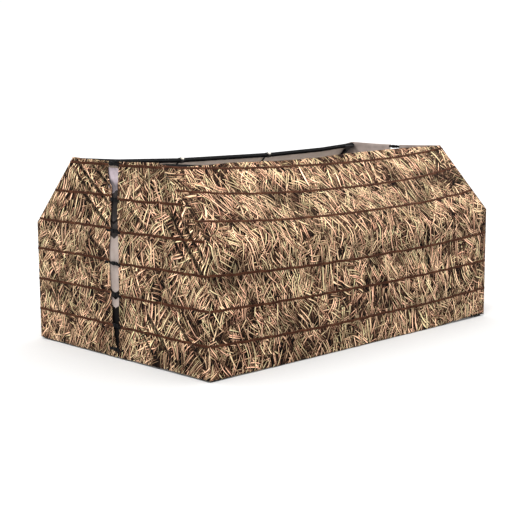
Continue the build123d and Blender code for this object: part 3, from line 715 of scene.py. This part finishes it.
def ribbon(name, C, N, T, width, thick, mat, uvlen, flip=False):
    """Flat strap along centre points C, outward normals N and width directions T: a closed rounded strip."""
    n = len(C)
    prof = [(-0.5, 0.0), (-0.46, 0.55), (-0.40, 1.0), (0.40, 1.0), (0.46, 0.55), (0.5, 0.0), (0.40, -0.2), (-0.40, -0.2)]
    m = len(prof)
    V = np.zeros((n, m, 3))
    for k, (a, b) in enumerate(prof):
        V[:, k] = C + T * (a * width) + N * (b * thick)
    verts = V.reshape(-1, 3)
    faces, uvs = [], []
    for i in range(n - 1):
        for k in range(m):
            k2 = (k + 1) % m
            f = (i * m + k, i * m + k2, (i + 1) * m + k2, (i + 1) * m + k)
            faces.append(f if not flip else f[::-1])
            a0, a1 = prof[k][0] * width, prof[k2][0] * width
            q = [(uvlen[i], a0), (uvlen[i], a1), (uvlen[i + 1], a1), (uvlen[i + 1], a0)]
            uvs += q if not flip else q[::-1]
    cap0 = tuple(range(m))
    cap1 = tuple(range((n - 1) * m, n * m))
    for cap, rev in ((cap0, True), (cap1, False)):
        c = cap[::-1] if rev != flip else cap
        faces.append(c)
        uvs += [(uvlen[0], 0.0)] * m
    me = bpy.data.meshes.new(name)
    me.from_pydata(verts.tolist(), [], faces)
    uvl = me.uv_layers.new(name="cloth")
    uvl.data.foreach_set("uv", np.array(uvs, np.float32).ravel())
    me.materials.append(mat)
    me.polygons.foreach_set("use_smooth", [True] * len(me.polygons))
    ob = bpy.data.objects.new(name, me)
    bpy.context.scene.collection.objects.link(ob)
    return ob


def join(obs, name):
    bpy.ops.object.select_all(action="DESELECT")
    for o in obs:
        o.select_set(True)
    bpy.context.view_layer.objects.active = obs[0]
    bpy.ops.object.join()
    obs[0].name = name
    obs[0].data.name = name
    return obs[0]


def build_long_straps(name, s, rows):
    parts = []
    for r in rows:
        xs = np.linspace(-COVER_X, COVER_X, 420)
        q = strap_q(s, r, xs)
        # tacked down every 150 mm, a shallow loop between the tacks
        ph = ((xs + 1.6 + 0.043 * r) / 0.152) % 1.0
        loop = 0.0030 * np.sin(math.pi * ph) ** 1.5 * (0.7 + 0.3 * vnoise(np.floor((xs + 1.6 + 0.043 * r) / 0.152), r, 51))
        drop = 0.0022 * np.sin(math.pi * ph) ** 2
        P, v = long_point(s, xs, q - drop / 0.8, 0.0)
        P2, _ = long_point(s, xs, q + 0.012, 0.0)
        T = P2 - P
        T /= np.linalg.norm(T, axis=1)[:, None]
        A = np.gradient(P, axis=0)
        A /= np.linalg.norm(A, axis=1)[:, None]
        N = np.cross(A, T) * (1 if s < 0 else -1)
        N /= np.linalg.norm(N, axis=1)[:, None]
        C = P + N * (0.0004 + loop[:, None])
        parts.append(ribbon(name + str(r), C, N, T, 0.0180, 0.0013, M_STRAP, xs + 1.6 + 0.043 * r, flip=(s > 0)))
    return join(parts, name)


# ---------------------------------------------------------------- end walls
REAR_FOLDS = [  # (y0, z0), (y1, z1), width, depth: pulled folds in the half nearer the rear
    ((0.470, 1.385), (0.168, 1.163), 0.018, 0.026), ((0.168, 1.163), (0.060, 1.085), 0.017, 0.016),
    ((0.225, 1.325), (0.040, 1.200), 0.017, 0.022), ((0.350, 1.135), (0.060, 0.925), 0.017, 0.024),
    ((0.470, 1.300), (0.330, 1.195), 0.014, 0.012), ((0.600, 1.130), (0.575, 1.000), 0.013, 0.012),
    ((0.300, 1.060), (0.120, 0.960), 0.013, 0.010), ((0.400, 0.900), (0.100, 0.700), 0.020, 0.010),
    ((0.760, 0.780), (0.560, 0.560), 0.020, 0.010), ((0.520, 0.640), (0.160, 0.500), 0.022, 0.008),
    ((0.860, 0.420), (0.700, 0.250), 0.020, 0.009), ((0.340, 0.300), (0.080, 0.140), 0.020, 0.010),
    ((0.620, 0.330), (0.420, 0.130), 0.018, 0.008)]
FRONT_FOLDS = [
    ((-0.600, 1.040), (-0.870, 0.715), 0.019, 0.026), ((-0.700, 1.040), (-0.910, 0.790), 0.014, 0.016),
    ((-0.520, 1.000), (-0.760, 0.740), 0.015, 0.011), ((-0.480, 1.370), (-0.250, 1.190), 0.018, 0.008),
    ((-0.330, 0.350), (-0.570, 0.100), 0.019, 0.021), ((-0.250, 0.230), (-0.400, 0.080), 0.015, 0.012),
    ((-0.640, 0.350), (-0.900, 0.110), 0.018, 0.020), ((-0.100, 1.120), (-0.330, 0.930), 0.018, 0.009),
    ((-0.070, 0.700), (-0.300, 0.560), 0.020, 0.007), ((-0.420, 0.640), (-0.640, 0.500), 0.018, 0.008)]


def fold_sum(y, z, folds):
    out = np.zeros_like(y)
    for (y0, z0), (y1, z1), w, d in folds:
        dy, dz = y1 - y0, z1 - z0
        L2 = dy * dy + dz * dz
        t = ((y - y0) * dy + (z - z0) * dz) / L2
        tc = np.clip(t, 0, 1)
        wob = 0.006 * vnoise(t * 4.0, y0 * 10, 61)
        L = math.sqrt(L2)
        dist = ((y - y0) * dz - (z - z0) * dy) / L + wob
        end = np.exp(-((t - tc) * L / 0.05) ** 2)
        fade = end * (0.35 + 0.65 * np.sin(math.pi * np.clip(t * 0.9 + 0.08, 0, 1)) ** 0.6)
        # a sharp valley with a rounded ridge beside it
        out += d * fade * (-0.75 * np.exp(-(dist / w) ** 2) + 0.55 * np.exp(-((dist - 2.1 * w) / (1.3 * w)) ** 2))
    return out


def slit_edge(s, z):
    """y of the cloth edge beside the slit."""
    if s < 0:
        return np.interp(z, [0.0, 0.21, 0.45, 0.775, 1.086, 1.314, 1.395], [-0.012, -0.020, -0.030, -0.037, -0.036, -0.050, -0.046])
    return np.interp(z, [0.0, 0.10, 0.20, 0.45, 0.60, 0.764, 0.92, 1.082, 1.15, 1.20, 1.25, 1.308, 1.395], [0.006, 0.018, 0.040, 0.062, 0.070, 0.072, 0.050, 0.034, 0.030, 0.022, 0.038, 0.060, 0.050])


def strap_dip(e, z, y):
    """How far a strap row hangs below level: on the near half of the left end the rows dip towards the slit."""
    if e > 0:
        return 0.0 * y * z
    k = np.interp(z, [0.10, 0.237, 0.467, 0.697, 0.922, 1.148, 1.30, 1.362], [0.0, 0.007, 0.012, 0.016, 0.020, 0.022, 0.006, 0.0])
    return np.where(y < 0, k * (0.40 + 0.60 * sstep(HALF_W, 0.05, np.abs(y))), 0.0)


def end_relief(e, y, z):
    folds = REAR_FOLDS + FRONT_FOLDS
    yy = y if e < 0 else -y * 0.98
    out = fold_sum(yy, z, folds) * (1.0 if e < 0 else 0.75)
    # pillow between straps
    rows = np.array((0.02,) + END_STRAP_Z)
    zr = z + strap_dip(e, z, y)
    pil = np.zeros_like(y)
    for k in range(len(rows) - 1):
        t = np.clip((zr - rows[k]) / (rows[k + 1] - rows[k]), 0, 1)
        inside = (zr >= rows[k]) & (zr < rows[k + 1])
        pil = np.where(inside, np.sin(math.pi * t) ** 0.8, pil)
    out = out + 0.0040 * pil * (0.6 + 0.4 * fnoise(y * 2.0 + e, z * 4.0, 71, 2))
    a, b = y * 0.6 + z * 0.8, -y * 0.8 + z * 0.6
    out = out + 0.0034 * fnoise(a * 2.4, b * 9.0, 73 + e, 2) + 0.0026 * fnoise(b * 2.5, a * 8.0, 75 + e, 2)
    out = out + 0.0009 * fnoise(y * 30.0, z * 30.0, 77, 2)
    near = np.exp(-(np.min(np.abs(zr[..., None] - np.array(END_STRAP_Z)), -1) / 0.03) ** 2)
    out = out + near * (-0.0014 + 0.0016 * fnoise(y * 22.0, z * 5.0, 79, 2))
    low = 1 - sstep(0.02, 0.14, z)
    out = out + low * 0.005 * fnoise(y * 4.0, 0.4, 83, 2)
    # sewn edges hold it flat; the slit edges curl a little
    edge_y = np.where(z <= KNEE_OUT, HALF_W, HALF_W - (z - KNEE_OUT) * 0.478 / 0.510)
    calm = sstep(0.0, 0.05, edge_y - np.abs(y))
    out = out * (0.1 + 0.9 * calm)
    out = out * (0.35 + 0.65 * sstep(1.395, 1.34, z))
    return out


def end_offset(e, y, z):
    """Relief kept clear of the sill, posts and placket, and flat along the sewn line where each leaf turns."""
    low = np.where(np.abs(y) < TOP_Y, -0.0035 + 0.0052 * sstep(0.15, 0.10, np.abs(y)), -0.0035)
    r = floor_to(end_relief(e, y, z), low)
    return r * (1 - np.exp(-((np.abs(y) - TOP_Y) / 0.016) ** 2))


def end_point(e, y, z, lift=0.0):
    r = end_offset(e, y, z) + lift
    return np.stack([e * (END_X + r), y, z], -1)


def end_uv(e, y, z):
    return np.stack([-e * y + (9.0 if e < 0 else 13.0), z + 0.3], -1)


def hem_line(y):
    return 0.010 + 0.002 * np.abs(y) + 0.002 * fnoise(y * 3.0, 0.9, 91, 2)


def roof_edge(zc):
    return np.where(zc <= KNEE_OUT, HALF_W, HALF_W - (zc - KNEE_OUT) * 0.478 / 0.510)


def build_end_fixed(name, e, s):
    ny, nz = 84, 240
    zc = np.linspace(0, 1, nz)[:, None] * TOP_Z
    edge = np.maximum(roof_edge(zc) - 0.0005, TOP_Y + 0.0010)
    # the seam allowance tucks 5 mm in behind the leaf, so no light shows along the seam
    tuck = np.broadcast_to(np.array([[TOP_Y - 0.0048, TOP_Y - 0.0008]]), (nz, 2))
    Y = s * np.concatenate([tuck, TOP_Y + 0.0003 + (edge - TOP_Y - 0.0003) * np.linspace(0, 1, ny - 2)[None]], 1)
    lo = hem_line(Y)
    Z = lo + zc * (TOP_Z - lo) / TOP_Z
    P = end_point(e, Y, Z)
    P[..., 0] -= e * 0.0016 * (np.abs(Y) < TOP_Y - 0.0004)
    # cavity attribute drives painted shade in fold valleys and painted highlight on ridges
    ob = grid_mesh(name, P, end_uv(e, Y, Z), [M_CAMO, M_LINING], 0.0014, True, flip=(e * s < 0), cavity=cavity_of(end_relief(e, Y, Z), (6, 6), 0.0048))
    return apply_mods(ob)


def build_leaf(name, e, s):
    ny, nz = 88, 240
    zc = np.linspace(0, 1, nz)[:, None] * TOP_Z
    edge = slit_edge(s, zc)
    hinge = s * (TOP_Y - 0.0010)
    Y = hinge + (edge - hinge) * np.linspace(0, 1, ny)[None]
    zc = np.broadcast_to(zc, Y.shape)
    lo = hem_line(Y)
    Z = lo + zc * (TOP_Z - lo) / TOP_Z
    # the top edge hangs a little between the corner and the slit
    k = np.clip(np.abs(Y - s * TOP_Y) / TOP_Y, 0, 1)
    Z = Z - 0.010 * np.sin(k * math.pi * 0.5) * (zc / TOP_Z) ** 6
    # the free edge rolls outwards slightly
    curl = 0.007 * np.exp(-(np.abs(Y - edge) / 0.018) ** 2) * (0.5 + 0.5 * fnoise(zc * 5, 0.3, 95 + s, 2))
    # cavity attribute drives painted shade in fold valleys and painted highlight on ridges
    ob = grid_mesh(name, end_point(e, Y, Z, curl), end_uv(e, Y, Z), [M_CAMO, M_LINING], 0.0014, True, flip=(e * s > 0), cavity=cavity_of(end_relief(e, Y, Z), (6, 6), 0.0048))
    return apply_mods(ob)


def end_strap(name, e, y0, y1, z, slack=0.0):
    n = max(30, int(abs(y1 - y0) / 0.006))
    ys = np.linspace(y0, y1, n)
    ph = ((ys + 2.0) / 0.152) % 1.0
    loop = 0.0028 * np.sin(math.pi * ph) ** 1.5 * (1 - np.exp(-((np.abs(ys) - TOP_Y) / 0.03) ** 2))
    zz = z - strap_dip(e, z, ys) - 0.002 * np.sin(math.pi * ph) ** 2 + 0.005 * fnoise(ys * 6.0, z * 7, 97, 3) - slack
    C = end_point(e, ys, zz, 0.0) + np.stack([e * (0.0005 + loop), np.zeros(n), np.zeros(n)], -1)
    A = np.gradient(C, axis=0)
    A /= np.linalg.norm(A, axis=1)[:, None]
    T = np.tile([0.0, 0.0, 1.0], (n, 1))
    N = np.tile([float(e), 0.0, 0.0], (n, 1))
    up = (y1 > y0)
    return ribbon(name, C, N, T, 0.0180, 0.0013, M_STRAP, ys + 2.0, flip=(up == (e < 0)))


# ---------------------------------------------------------------- build: long sides
for side, s in SIDES:
    cover = build_long("long_cover_" + side, s)
    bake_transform(cover)
    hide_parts("wall_cover_" + side, "roof_cover_" + side)
    w = build_long_straps("wall_straps_cloth_" + side, s, (0, 1, 2))
    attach(w, side + "_side")
    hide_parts("wall_straps_" + side)
    r = build_long_straps("roof_straps_cloth_" + side, s, (3, 4, 5))
    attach(r, side + "_flap")
    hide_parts("roof_straps_" + side)

# ---------------------------------------------------------------- build: end walls
fixed_straps = []
for end, e in ENDS:
    for side, s in SIDES:
        ob = build_end_fixed("end_fixed_%s_%s" % (end, side), e, s)
        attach(ob, "base")
        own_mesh(ob)
        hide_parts("end_panels_" + side)
        st = []
        for z in END_STRAP_Z:
            edge = HALF_W if z <= KNEE_OUT else HALF_W - (z - KNEE_OUT) * 0.478 / 0.510
            st.append(end_strap("es", e, s * (TOP_Y + 0.0028), s * (edge - 0.002), z))
        st = join(st, "end_fixed_straps_%s_%s" % (end, side))
        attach(st, "base")
        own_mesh(st)
        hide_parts("end_panel_straps")

        leaf = build_leaf("leaf_%s_%s" % (end, side), e, s)
        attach(leaf, "%s_%s_door" % (end, side))
        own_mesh(leaf)
        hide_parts("door_leaf_%s_%s" % (end, side))
        st = []
        for z in END_STRAP_Z:
            ye = float(slit_edge(s, np.array([z]))[0])
            st.append(end_strap("ls", e, s * (TOP_Y - 0.0030), ye + s * 0.004, z))
        ye = float(slit_edge(s, np.array([1.37]))[0])
        st = join(st, "leaf_straps_%s_%s" % (end, side))
        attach(st, "%s_%s_door" % (end, side))
        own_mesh(st)
        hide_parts("door_straps_%s_%s" % (end, side))


# ---------------------------------------------------------------- placket behind each slit
PLACKET_TOP = 1.340


def build_placket(name, e):
    ny, nz = 30, 230
    zs = np.linspace(0.062, PLACKET_TOP, nz)
    ys = np.linspace(-0.076, 0.082, ny)
    Y, Z = np.meshgrid(ys, zs)
    top = sstep(1.15, 1.21, Z)
    mid = sstep(0.84, 0.90, Z) * (1 - top)
    d = 0.0015 * fnoise(Y * 12, Z * 5, 101, 2)
    # the top bunches up into soft crushed folds, the part below it is pulled in and pleated upright
    c = Y * 0.75 + Z * 0.66
    r1 = vnoise(c * 17 + 0.4, (Z - Y) * 6 + 2.1, 103)
    r2 = vnoise((Y - Z * 0.8) * 22 + 1.7, c * 9, 105)
    gap = sstep(-0.066, -0.044, Y) * sstep(0.080, 0.056, Y)
    d = d + top * gap * (0.0110 * (r1 + 0.75) + 0.0070 * (r2 + 0.6))
    d = d + mid * (0.0045 * fnoise(Y * 40, Z * 7, 107, 2))
    d = d + (1 - top) * (1 - mid) * 0.0015 * np.cos((Y + 0.01) * 60)
    d = floor_to(d, -0.0010, 0.0006)
    P = np.stack([e * (END_X - 0.0046 + d), Y, Z], -1)
    UV = np.stack([Y, Z], -1)
    # painted shade: the bunched top darkens towards its bottom and in its fold valleys; painted highlight in a band
    # near its top on the +y side
    cav = 0.8 * cavity_of(d, (9, 9), 0.0080) - top * 1.60 * sstep(1.275, 1.205, Z) - top * 0.5 * np.clip(-r1 * 2, 0, 1)
    cav = np.clip(cav + top * 1.1 * sstep(1.250, 1.280, Z) * sstep(1.335, 1.310, Z) * sstep(-0.03, 0.02, Y), -1.30, 1.20)
    ob = grid_mesh(name, P, UV, [M_LINING, M_PLACKET_SHADE, M_PLACKET_SHADOW, M_BUNCH], 0.0010, False, flip=(e < 0), cavity=cav)
    ob = apply_mods(ob)
    for p in ob.data.polygons:
        z = p.center.z + 0.012 * math.sin(p.center.y * 55)
        if p.normal.x * e < -0.05:
            p.material_index = 0
        # black bands: painted shadow, the dark inside below and dark lines higher up
        elif z < 0.372 or 0.432 < z < 0.481 or 0.962 < z < 0.980:
            p.material_index = 2
        # middle band: painted shade
        elif 0.862 < z < 1.176:
            p.material_index = 1
        elif z >= 1.176:
            p.material_index = 3
    return ob


def rounded(name, c, size, r, mat, seg=3, taper=0.0):
    """A moulded block: softened edges, optionally narrower at its +y end."""
    me = bpy.data.meshes.new(name)
    hx, hy, hz = (v / 2 for v in size)
    k = 1 - taper
    vs = [(-hx, -hy, -hz), (hx, -hy, -hz), (hx, hy, -hz * k), (-hx, hy, -hz * k), (-hx, -hy, hz), (hx, -hy, hz), (hx, hy, hz * k), (-hx, hy, hz * k)]
    vs = [(a + c[0], b + c[1], d + c[2]) for a, b, d in vs]
    me.from_pydata(vs, [], [(0, 3, 2, 1), (4, 5, 6, 7), (0, 1, 5, 4), (1, 2, 6, 5), (2, 3, 7, 6), (3, 0, 4, 7)])
    me.uv_layers.new(name="cloth")
    me.materials.append(mat)
    ob = bpy.data.objects.new(name, me)
    scene.collection.objects.link(ob)
    bv = ob.modifiers.new("soft", "BEVEL")
    bv.width = r
    bv.segments = seg
    bv.limit_method = "NONE"
    apply_mods(ob)
    ob.data.polygons.foreach_set("use_smooth", [True] * len(ob.data.polygons))
    return ob


def web_run(name, e, pts, width=0.020, thick=0.0014):
    """Black webbing through a list of (x_out, y, z) points, smoothed; x_out is measured out from the end wall."""
    pts = np.array(pts, float)
    t = np.concatenate([[0], np.cumsum(np.linalg.norm(np.diff(pts, axis=0), axis=1))])
    n = max(14, int(t[-1] / 0.003))
    u = np.linspace(0, t[-1], n)
    C = np.stack([np.interp(u, t, pts[:, k]) for k in range(3)], -1)
    for _ in range(3):
        C[1:-1] = (C[:-2] + 2 * C[1:-1] + C[2:]) / 4
    C[:, 0] = e * (END_X + C[:, 0])
    A = np.gradient(C, axis=0)
    A /= np.linalg.norm(A, axis=1)[:, None]
    T = np.tile([0.0, 0.0, 1.0], (n, 1))
    N = np.cross(A, T)
    N /= np.linalg.norm(N, axis=1)[:, None]
    sgn = np.sign(N[n // 2, 0] * e)
    N = N * sgn
    return ribbon(name, C, N, T, width, thick, M_BLACKWEB, u, flip=(sgn > 0))


def build_buckle(e, z, k):
    """Side-release buckle closing the slit: pronged plug on the front leaf, socket on the rear leaf, webbing at both ends."""
    x0 = 0.0050
    yf = float(slit_edge(-1, np.array([z]))[0])
    yr = float(slit_edge(1, np.array([z]))[0])
    tilt = 0.003 * math.sin(k * 2.3)
    X = lambda out: e * (END_X + out)
    plug = [
        rounded("b", (X(x0 + 0.0025), -0.0130, z), (0.0055, 0.0075, 0.0270), 0.0016, M_PLASTIC),
        rounded("b", (X(x0 + 0.0025), -0.0020, z), (0.0042, 0.0160, 0.0250), 0.0014, M_PLASTIC, taper=0.10),
        rounded("b", (X(x0 + 0.0025), 0.0130, z + 0.0098), (0.0045, 0.0180, 0.0050), 0.0012, M_PLASTIC, taper=-0.4),
        rounded("b", (X(x0 + 0.0025), 0.0130, z - 0.0098), (0.0045, 0.0180, 0.0050), 0.0012, M_PLASTIC, taper=-0.4),
    ]
    plug.append(web_run("b", e, [(0.0020, yf - 0.045, z - tilt), (0.0022, yf - 0.012, z), (0.0040, yf + 0.004, z), (x0 + 0.0060, -0.0190, z), (x0 + 0.0062, -0.0110, z)]))
    plug.append(web_run("b", e, [(x0 + 0.0074, -0.0100, z), (x0 + 0.0076, -0.0220, z - 0.001), (x0 + 0.0080, yf - 0.002, z - 0.004), (x0 + 0.0060, yf - 0.022, z - 0.010)], 0.0196, 0.0013))
    sock = [
        rounded("b", (X(x0 + 0.0030), 0.0215, z + 0.0118), (0.0082, 0.0190, 0.0046), 0.0018, M_PLASTIC),
        rounded("b", (X(x0 + 0.0030), 0.0215, z - 0.0118), (0.0082, 0.0190, 0.0046), 0.0018, M_PLASTIC),
        rounded("b", (X(x0 + 0.0030), 0.0180, z), (0.0086, 0.0180, 0.0180), 0.0022, M_PLASTIC, taper=-0.25),
        rounded("b", (X(x0 + 0.0030), 0.0320, z), (0.0078, 0.0110, 0.0275), 0.0022, M_PLASTIC, taper=0.08),
        rounded("b", (X(x0 + 0.0030), 0.0400, z), (0.0050, 0.0040, 0.0260), 0.0014, M_PLASTIC),
    ]
    sock.append(web_run("b", e, [(x0 + 0.0050, 0.0360, z), (x0 + 0.0044, 0.0440, z), (0.0040, max(yr, 0.050), z + tilt), (0.0022, max(yr, 0.050) + 0.020, z), (0.0020, max(yr, 0.050) + 0.048, z)]))
    return plug, sock


for end, e in ENDS:
    pk = build_placket("slit_placket_" + end, e)
    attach(pk, "%s_front_door" % end)
    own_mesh(pk)
    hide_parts("placket_" + end)
    plugs, socks = [], []
    for k, z in enumerate(BUCKLE_Z):
        p, q = build_buckle(e, z, k)
        plugs += p
        socks += q
    pl = join(plugs, "buckle_plug_set_" + end)
    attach(pl, "%s_front_door" % end)
    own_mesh(pl)
    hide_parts("buckle_plugs_" + end)
    so = join(socks, "buckle_socket_set_" + end)
    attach(so, "%s_rear_door" % end)
    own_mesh(so)
    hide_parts("buckle_sockets_" + end)

# ---------------------------------------------------------------- light and floor
me = bpy.data.meshes.new("floor")
me.from_pydata([(-60, -60, 0), (60, -60, 0), (60, 60, 0), (-60, 60, 0)], [], [(0, 1, 2, 3)])
floor = bpy.data.objects.new("floor", me)
scene.collection.objects.link(floor)
m, nt = new_mat("floor")
h = NT(nt)
gr, _ = h.noise(h.node("ShaderNodeTexCoord").outputs["Object"], 40.0, 2.0, 0.5)
h.finish(h.mix(gr, (0.50, 0.50, 0.50, 1.0), (0.52, 0.52, 0.52, 1.0)), 0.95, spec=0.0)
me.materials.append(m)

world = bpy.data.worlds.new("world")
scene.world = world
world.use_nodes = True
wt = NT(world.node_tree)
bg = world.node_tree.nodes["Background"]
_, _, wz = wt.sep(wt.node("ShaderNodeTexCoord").outputs["Generated"])
wt.put(bg.inputs[1], wt.map(wz, 0.18, 0.85, 1.03, 2.3))
bg.inputs[0].default_value = (1.0, 1.0, 1.0, 1.0)

sun = bpy.data.lights.new("sun", "SUN")
sun.energy = 1.7
sun.angle = math.radians(14)
sun.color = (1.0, 0.985, 0.96)
so = bpy.data.objects.new("sun", sun)
scene.collection.objects.link(so)
so.rotation_euler = (Vector((0, 0, 0)) - Vector((-0.42, -0.26, 1.0))).to_track_quat("-Z", "Y").to_euler()
